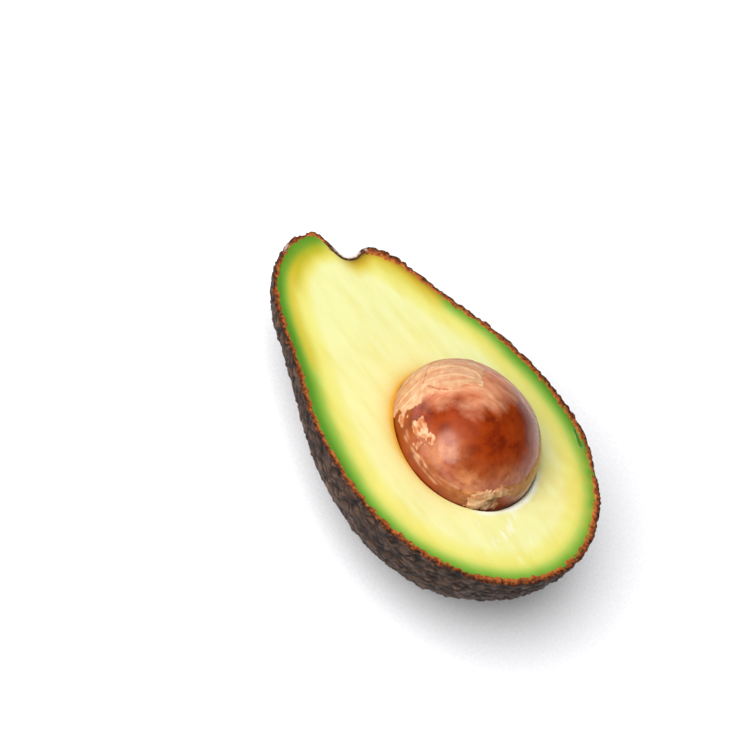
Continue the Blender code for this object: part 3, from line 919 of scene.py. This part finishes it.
def build_coat(settings):
    """The scraps of seed coat, raised off the stone where they stick and sunk in it elsewhere."""
    directions, faces = ball(COAT_SUBDIVISIONS)
    spots = directions * STONE_SPAN
    torn = layered(spots, COAT_TEARS) * MM
    wrinkled = ripples(spots * np.array([0.4, 0.4, 1.0]), 1.6 * MM, 73)
    fluffy = layered(spots, COAT_FLUFF)
    raised = np.full(len(directions), -1.0)
    pale_and_highlight = np.zeros(len(directions))
    thickness_and_shade = np.zeros(len(directions))
    for outline, sheets, frayed, lumps, softness in COAT_SCRAPS:
        inside = within(directions, outline) + torn * frayed
        up = smooth_step((inside + 0.4 * softness) / softness)
        rough = 1.0 + lumps * (0.5 * wrinkled + 0.7 * fluffy)
        sheet = (COAT_SUNK + (sheets * settings.thickness * rough - COAT_SUNK) * up) / MM
        # Painted shade and light: lighter on the tufts' raised lumps and darker between them; darker
        # red-brown where the sheet thins
        body = np.clip(0.1 + (0.52 - 0.25 * lumps) * up + 0.45 * lumps * fluffy, 0.0, 1.0)
        higher = sheet > raised
        # Painted highlight on the tops of the tufts
        tuft_highlight = 0.6 * min(lumps, 0.8) * smooth_step(0.2 + 0.7 * fluffy) * up
        pale_and_highlight = np.where(higher, tuft_highlight, pale_and_highlight)
        thickness_and_shade = np.where(higher, body, thickness_and_shade)
        raised = np.maximum(raised, sheet)
    fold = sum(bump(stone_line(directions, line) + 0.1 * torn, 0.0, 0.32 * MM) for line in FOLDS)
    cracks_and_limb_shade = sum(bump(stone_line(directions, line) + 0.15 * torn, 0.0, 0.22 * MM) for line in CRACKS)
    near_pit = smooth_step(within(directions, FLAP_PATCH) / (2.5 * MM))
    pleated, stain = pleats(directions), pit_stain(directions)
    relief = 0.13 * fold - 0.08 * cracks_and_limb_shade + 0.12 * near_pit * pleated - 0.3 * stain
    raised += np.where(raised > 0.0, relief, 0.0)
    # Painted highlight along the raised folds and on the pleats' crests
    pale_and_highlight = np.clip(pale_and_highlight + 0.5 * fold + 0.35 * near_pit * smooth_step(pleated), 0.0, 1.0)
    # Painted shade: a red-brown band along the stone's top limb, mixed with the real cracks
    limb_shade = bump(stone_line(directions, SHADED_TOP_LIMB), 0.0, 2.2 * MM)
    cracks_and_limb_shade = np.clip(0.8 * cracks_and_limb_shade + 0.5 * limb_shade, 0.0, 1.0)
    used = (raised[faces] > COAT_HIDDEN / MM).any(axis=1)
    faces = faces[used]
    numbers, compact = np.unique(faces, return_inverse=True)
    faces = compact.reshape(-1, 3)
    kept = directions[numbers]
    top = stone_points(kept, raised[numbers] * MM)
    under = stone_points(kept, COAT_UNDERSIDE)
    edges = np.concatenate([faces[:, [0, 1]], faces[:, [1, 2]], faces[:, [2, 0]]])
    keys = {tuple(edge) for edge in edges.tolist()}
    count = len(kept)
    sides = [(b, a, a + count, b + count) for a, b in keys if (b, a) not in keys]
    all_faces = faces.tolist() + (faces[:, ::-1] + count).tolist() + sides
    mesh = resting_mesh("seed_coat_look", np.concatenate([top, under]), all_faces)
    values = {
        # Wrinkles add painted shade and light to it
        "thickness_and_shade": np.clip(thickness_and_shade + 0.1 * wrinkled, 0.0, 1.0), "pale_and_highlight": pale_and_highlight, "cracks_and_limb_shade": cracks_and_limb_shade,
        "pit": stain, "streak": streaks(directions),
    }
    add_values(mesh, {name: np.tile(numbers_of[numbers], 2) for name, numbers_of in values.items()})
    return add_object("seed_coat_look", mesh, coat_material(settings), "seed_coat")


# Flesh

FACE_UNDER_RIM = 1.1 * MM
FACE_SINK = 0.05 * MM
LIP_ROUNDING = 0.4 * MM
HOLLOW_CLEARANCE = 0.15 * MM
HOLLOW_EXTRA = 1.3 * MM
HOLLOW_EXTRA_DEPTH = 0.5 * MM
HOLLOW_EXTRA_ANGLE = math.radians(5)
HOLLOW_EXTRA_WIDTH = math.radians(27)

# Layers of ripples in the cut face: length, seed and height
FACE_SWELLS = ((15 * MM, 81, 0.05), (4 * MM, 82, 0.012))

# A nick in the green of the cut face: its line, its cut and the lip that the knife pushed up
NICK = np.array([(22.9, 30.6), (24.6, 30.1), (26.6, 29.1)]) * MM
NICK_WIDTH = 0.35 * MM
NICK_DEPTH = 0.3
NICK_LIP = 0.7 * MM
NICK_LIP_HEIGHT = 0.1

# Sides of the cut face, and of the stone, by colour: direction, half width, softness in degrees
NECK_SIDE = (184.5, 10.0, 8.0)
STEM_SIDE = (153.0, 19.0, 9.0)
GOLD_SIDE = (208.0, 20.0, 14.0)
RING_SIDE = (-125.0, 80.0, 60.0)
# Side of the stone where a pale highlight is painted on the cavity wall
LIT_CRESCENT_SIDE = (2.0, 32.0, 16.0)
# Where the green reaches less far in, or farther: how much by, and the side
GREEN_SIDES = (
    (0.06, (322.0, 38.0, 40.0)), (-0.07, (65.0, 35.0, 30.0)), (-0.09, (245.0, 50.0, 40.0)),
    (0.04, (118.0, 20.0, 20.0)),
)
GREEN_START = 1.3 * MM
COLOUR_DEPTH = 9 * MM
GOLD_DEPTH = 4.8 * MM
GOLD_WIDTH = 1.3 * MM
WARM_SPOT = np.array((33.0, 15.0)) * MM
WARM_REACH = 13 * MM
FIBRE_SPOT = np.array((36.0, -6.5)) * MM
FIBRE_REACH = 6.5 * MM
FIBRE_FINENESS = 4.0


def nearest_distances(line, points):
    """How far each point, seen from above, is from the nearest of a line's points."""
    tree = search_tree(line)
    return np.array([tree.find(point)[2] for point in points * np.array([1.0, 1.0, 0.0])])


def build_flesh(settings):
    """The hollow for the stone, the cut face and the hull inside the rind, as one closed mesh."""
    columns = FLESH_COLUMNS
    angles = rim_angles(columns)
    away = angle_from(angles, HOLLOW_EXTRA_ANGLE)
    steeps = math.radians(88) * np.linspace(1.0, 0.0, FLESH_HOLLOW_ROWS) ** 1.8
    hollow = []
    for steep in steeps:
        below = STONE_HALF_SIZE[2] * math.sin(steep)
        extra = HOLLOW_EXTRA * bump(away, 0.0, HOLLOW_EXTRA_WIDTH)
        extra *= math.exp(-below / HOLLOW_EXTRA_DEPTH)
        points = egg_points(direction(angles, np.full(columns, -steep)), HOLLOW_CLEARANCE + extra)
        points[:, 2] -= STONE_CENTRE[2] * math.cos(steep)
        hollow.append(points)
    hollow = np.array(hollow)
    hollow[-1, :, 2] = -0.5 * LIP_ROUNDING
    edge = hollow[-1].copy()
    edge[:, 2] = 0.0
    ring = direction(angles, 0.0)
    rim = back_points(ring)
    outward = np.cross(np.roll(rim, -1, axis=0) - np.roll(rim, 1, axis=0), (0.0, 0.0, 1.0))
    outward /= np.linalg.norm(outward, axis=1)[:, None]
    border = rim - outward * FACE_UNDER_RIM
    even = np.linspace(0.0, 1.0, FLESH_FACE_ROWS + 1)[1:]
    share = (0.45 * even + 0.55 * (0.5 - 0.5 * np.cos(even * math.pi)))[:, None, None]
    face = edge * (1.0 - share) + border * share
    flat = face.reshape(-1, 3)
    from_lip = np.linalg.norm(face - edge, axis=2).ravel()
    rounding = -0.5 * LIP_ROUNDING * np.exp(-from_lip / (0.4 * LIP_ROUNDING))
    to_nick = to_line(flat[:, :2], NICK)
    level = layered(flat, FACE_SWELLS) + NICK_LIP_HEIGHT * bump(to_nick, NICK_LIP, NICK_WIDTH)
    level = (level - NICK_DEPTH * bump(to_nick, 0.0, NICK_WIDTH)) * MM
    face[:, :, 2] = (level - FACE_SINK + rounding).reshape(FLESH_FACE_ROWS, columns)
    hull_drops = -np.linspace(math.radians(3), math.radians(89.7), FLESH_HULL_ROWS)
    hull_ways = direction(angles[None, :], hull_drops[:, None]).reshape(-1, 3)
    hull = back_points(hull_ways, inset=SKIN_THICKNESS + 0.3 * MM).reshape(FLESH_HULL_ROWS, columns, 3)
    rings = np.concatenate([hollow, face, hull])
    pole = direction(0.0, -math.pi / 2)[None]
    first = egg_points(pole, HOLLOW_CLEARANCE)[0]
    last = back_points(pole, inset=SKIN_THICKNESS + 0.3 * MM)[0]
    mesh = loft("flesh_look", rings, first, last)

    # How deep under the rind each point lies, and where the neck, the stem and the stone are
    flat = rings.reshape(-1, 3)
    every_way = direction(np.linspace(0.0, math.tau, OUTLINE_STEPS, endpoint=False), 0.0)
    from_edge = nearest_distances(back_points(every_way), flat)
    whole = outline_radius(np.arccos(np.clip(every_way[:, 0], -1.0, 1.0)))
    depth = np.maximum(nearest_distances(whole[:, None] * every_way, flat), 0.35 * from_edge)
    around = np.arctan2(flat[:, 1], flat[:, 0])
    neck = sector(around, *NECK_SIDE) * (1.0 - smooth_step((depth - 5 * MM) / (6 * MM)))
    stem = sector(around, *STEM_SIDE) * (1.0 - smooth_step((from_edge - 3 * MM) / (5 * MM)))
    gold = sector(around, *GOLD_SIDE) * bump(depth, GOLD_DEPTH, GOLD_WIDTH)
    from_stone = (flat - STONE_CENTRE)[:, :2]
    stone_side = np.arctan2(from_stone[:, 1], from_stone[:, 0])
    to_stone = np.linalg.norm(from_stone / STONE_HALF_SIZE[:2], axis=1) - 1.0
    off_stone = np.maximum(to_stone, 0.0) * STONE_HALF_SIZE[1]
    golden = 0.8 * np.exp(-off_stone / (1.4 * MM)) + 0.22 * np.exp(-off_stone / (7 * MM))
    # Painted highlight on the cavity wall beside the stone, where the key light falls
    lit_crescent = sector(stone_side, *LIT_CRESCENT_SIDE) * smooth_step(2.2 - off_stone / MM)
    mottled = np.clip(0.5 + 0.5 * ripples(flat, 5 * MM, 83), 0.0, 1.0)
    warm = bump(np.linalg.norm(flat[:, :2] - WARM_SPOT, axis=1), 0.0, WARM_REACH)
    flecks = smooth_step(ripples(flat * np.array([0.35, 1.0, 1.0]), 1.6 * MM, 84) - 0.45)
    fibres = bump(np.linalg.norm(flat[:, :2] - FIBRE_SPOT, axis=1), 0.0, FIBRE_REACH)
    to_nick = to_line(flat[:, :2], NICK) + ripples(flat, 1.5 * MM, 85) * 0.15 * MM
    # Painted highlight along the nick's raised lip
    lip_highlight = mottled * bump(to_nick, NICK_LIP, 0.25 * MM)
    # Pale fibres, with painted highlight on the nick's lip and on the cavity wall beside the stone
    pale_and_highlight = 0.3 * lip_highlight + 0.8 * flecks * fibres + 0.9 * lit_crescent
    narrower = sum(share * sector(around, *side) for share, side in GREEN_SIDES)
    shown = np.clip((depth - GREEN_START) / COLOUR_DEPTH + narrower, 0.0, 1.0)
    on_face = np.arange(len(flat)) < (FLESH_HOLLOW_ROWS + FLESH_FACE_ROWS) * columns
    values = {
        "depth": np.where(on_face, shown, 0.1),
        "neck": neck,
        "stem": stem,
        "edge": np.clip((from_edge - FACE_UNDER_RIM) / COLOUR_DEPTH, 0.0, 1.0),
        "gold": 0.6 * gold,
        "warm": warm * (0.12 + 0.3 * mottled),
        "ring": golden * sector(stone_side, *RING_SIDE),
        # Painted shade in the nick's groove
        "nick_groove_shade": 0.7 * bump(to_nick, 0.0, 0.6 * MM),
        "pale_and_highlight": np.clip(pale_and_highlight, 0.0, 1.0),
        "fibre": flat[:, 1] * FIBRE_FINENESS,
    }
    add_values(mesh, {
        name: np.append(numbers, (1.0, 0.1) if name == "depth" else (0.0, 0.0))
        for name, numbers in values.items()
    })
    return add_object("flesh_look", mesh, flesh_material(settings), "flesh")


# Stage

FLOOR_HALF = 3.0
# How bright the air is by how high it is seen, from the horizon up
AIR = ((0.0, "FFFFFF"), (0.10, "ECECEC"), (0.34, "363636"))


def build_stage(settings):
    """A pale floor, dim air with a bright horizon, a softbox and a scrim, and the camera."""
    scene = bpy.context.scene
    scene.view_settings.view_transform = "Standard"
    mesh = bpy.data.meshes.new("studio_floor")
    corners = [(-1, -1, 0), (1, -1, 0), (1, 1, 0), (-1, 1, 0)]
    mesh.from_pydata([[FLOOR_HALF * side for side in corner] for corner in corners], [], [(0, 1, 2, 3)])
    floor = bpy.data.objects.new("studio_floor", mesh)
    scene.collection.objects.link(floor)
    material, tree, _, (fibre,) = new_material("matt_paper_sweep", (), ((0.8 * MM, 2.0, 0.5),))
    fill_inputs(tree, tree.nodes["Principled BSDF"], {
        "Base Color": add_node(
            tree, "ValToRGB", {"Fac": fibre}, stops=[(0.3, settings.floor_colour), (0.7, "FAFAFC")],
        ),
        "Roughness": 0.9,
    })
    mesh.materials.append(material)

    world = bpy.data.worlds.new("studio_air")
    scene.world = world
    world.use_nodes = True
    tree = world.node_tree
    way = add_node(tree, "TexCoord", {}, "Generated")
    upward = add_node(tree, "SeparateXYZ", {0: way}, "Z")
    fill_inputs(tree, tree.nodes["Background"], {
        "Color": add_node(tree, "ValToRGB", {"Fac": upward}, stops=AIR), "Strength": settings.fill,
    })

    aim = Vector(as_it_rests(STONE_CENTRE[None])[0])
    for name, azimuth, elevation, away, size, radiance, mirrored in (
        ("key_softbox", -94, 27, 0.75, 0.6, settings.key, True),
        ("overhead_scrim", -120, 60, 3.0, 3.2, settings.overhead, False),
    ):
        light = bpy.data.lights.new(name, "AREA")
        light.shape = "DISK"
        light.size = size
        light.energy = radiance * math.pi * math.pi * size ** 2 / 4.0
        lamp = bpy.data.objects.new(name, light)
        lamp.visible_glossy = mirrored
        toward = Vector(direction(math.radians(azimuth), math.radians(elevation)))
        lamp.location = aim + toward * away
        lamp.rotation_euler = toward.to_track_quat("Z", "Y").to_euler()
        scene.collection.objects.link(lamp)

    camera = bpy.data.cameras.new("photo_camera")
    camera.lens = CAMERA_LENS
    camera.sensor_width = CAMERA_SENSOR
    camera.clip_start = CAMERA_CLIP_START
    view = bpy.data.objects.new("photo_camera", camera)
    back = Vector(direction(CAMERA_AZIMUTH, CAMERA_ELEVATION))
    level = Vector((-math.sin(CAMERA_AZIMUTH), math.cos(CAMERA_AZIMUTH), 0.0))
    right = Matrix.Rotation(CAMERA_ROLL, 3, back) @ level
    up = back.cross(right)
    target = Vector(as_it_rests(CAMERA_TARGET[None])[0])
    turn = Matrix((right, up, back)).transposed().to_4x4()
    view.matrix_world = Matrix.Translation(target + back * CAMERA_DISTANCE) @ turn
    scene.collection.objects.link(view)
    scene.camera = view


# Settings

def length(name, description, default):
    """A setting in metres."""
    return FloatProperty(
        name=name, description=description, default=default, min=0.0, unit="LENGTH", subtype="DISTANCE",
        precision=5,
    )


def colour(name, description, text):
    """A setting for a colour, with its default in sRGB hex."""
    return FloatVectorProperty(
        name=name, description=description, default=from_hex(text), size=3, min=0.0, max=1.0,
        subtype="COLOR",
    )


class SkinSettings(bpy.types.PropertyGroup):
    pebble_spacing: length("Pebble spacing", "Distance between the pebbles of the rind", 2.3 * MM)
    pebble_height: length("Pebble height", "How high the pebbles stand over their creases", 0.75 * MM)
    # Painted shade in the creases (Crease) and painted light on the crests (Crest) of the pebbles
    crease_shade_colour: colour("Crease", "Colour in the creases", "110A06")
    peel_colour: colour("Peel", "Colour of the sides of the pebbles", "39271B")
    crest_light_colour: colour("Crest", "Colour of the tops of the pebbles", "5C4531")
    rust_colour: colour("Rust", "Colour of the cut rim", "70391B")


class FleshSettings(bpy.types.PropertyGroup):
    green_colour: colour("Green", "Colour close under the rind", "70AA3A")
    yellow_colour: colour("Yellow", "Colour between the green and the cream", "F2EC80")
    cream_colour: colour("Cream", "Colour round the stone", "F8F8B2")


class StoneSettings(bpy.types.PropertyGroup):
    dark_colour: colour("Dark", "Colour of the darkest mottling", "641A05")
    body_colour: colour("Body", "Main colour of the stone", "7E2A05")
    film_colour: colour("Film", "Colour where a thin film clings", "C27E59")


class CoatSettings(bpy.types.PropertyGroup):
    thickness: length("Thickness", "How far the seed coat stands off the stone", 0.14 * MM)
    paper_colour: colour("Paper", "Main colour of the seed coat", "BC8F6A")


class StageSettings(bpy.types.PropertyGroup):
    floor_colour: colour("Floor", "Colour of the floor", "F2F2F4")
    fill: FloatProperty(
        name="Fill", description="Brightness of the light all round", default=0.95, min=0.0,
    )
    key: FloatProperty(name="Key", description="Brightness of the softbox", default=3.7, min=0.0)
    overhead: FloatProperty(
        name="Overhead", description="Brightness of the scrim over the table", default=5.8, min=0.0,
    )


# Operators

class SkinOperator(bpy.types.Operator):
    """Build the pebbled rind with its rusty cut rim"""
    bl_idname = "avocado.build_skin"
    bl_label = "Build rind"

    def execute(self, context):
        build_skin(context.scene.avocado_skin)
        return {"FINISHED"}


class FleshOperator(bpy.types.Operator):
    """Build the cut flesh with the hollow for the stone"""
    bl_idname = "avocado.build_flesh"
    bl_label = "Build flesh"

    def execute(self, context):
        build_flesh(context.scene.avocado_flesh)
        return {"FINISHED"}


class StoneOperator(bpy.types.Operator):
    """Build the glossy stone"""
    bl_idname = "avocado.build_stone"
    bl_label = "Build stone"

    def execute(self, context):
        build_stone(context.scene.avocado_stone)
        return {"FINISHED"}


class CoatOperator(bpy.types.Operator):
    """Build the torn scraps of seed coat on the stone"""
    bl_idname = "avocado.build_coat"
    bl_label = "Build seed coat"

    def execute(self, context):
        build_coat(context.scene.avocado_coat)
        return {"FINISHED"}


class StageOperator(bpy.types.Operator):
    """Set up the floor, the lights and the camera"""
    bl_idname = "avocado.build_stage"
    bl_label = "Build stage"

    def execute(self, context):
        build_stage(context.scene.avocado_stage)
        return {"FINISHED"}


class AvocadoPanel(bpy.types.Panel):
    """Buttons and settings for each piece of the half avocado"""
    bl_idname = "VIEW3D_PT_avocado"
    bl_label = "Halved avocado"
    bl_space_type = "VIEW_3D"
    bl_region_type = "UI"
    bl_category = "Avocado"

    def draw(self, context):
        for operator, settings in PIECES:
            box = self.layout.box()
            group = getattr(context.scene, settings)
            for name in group.bl_rna.properties.keys():
                if name not in ("name", "rna_type"):
                    box.prop(group, name)
            box.operator(operator.bl_idname)


PIECES = (
    (SkinOperator, "avocado_skin"),
    (FleshOperator, "avocado_flesh"),
    (StoneOperator, "avocado_stone"),
    (CoatOperator, "avocado_coat"),
    (StageOperator, "avocado_stage"),
)
GROUPS = (SkinSettings, FleshSettings, StoneSettings, CoatSettings, StageSettings)


def register():
    for group, (operator, settings) in zip(GROUPS, PIECES):
        bpy.utils.register_class(group)
        bpy.utils.register_class(operator)
        setattr(bpy.types.Scene, settings, PointerProperty(type=group))
    bpy.utils.register_class(AvocadoPanel)


def unregister():
    bpy.utils.unregister_class(AvocadoPanel)
    for group, (operator, settings) in zip(GROUPS, PIECES):
        delattr(bpy.types.Scene, settings)
        bpy.utils.unregister_class(operator)
        bpy.utils.unregister_class(group)


def main():
    register()
    bpy.ops.avocado.build_skin()
    bpy.ops.avocado.build_flesh()
    bpy.ops.avocado.build_stone()
    bpy.ops.avocado.build_coat()
    bpy.ops.avocado.build_stage()


if __name__ == "__main__":
    main()
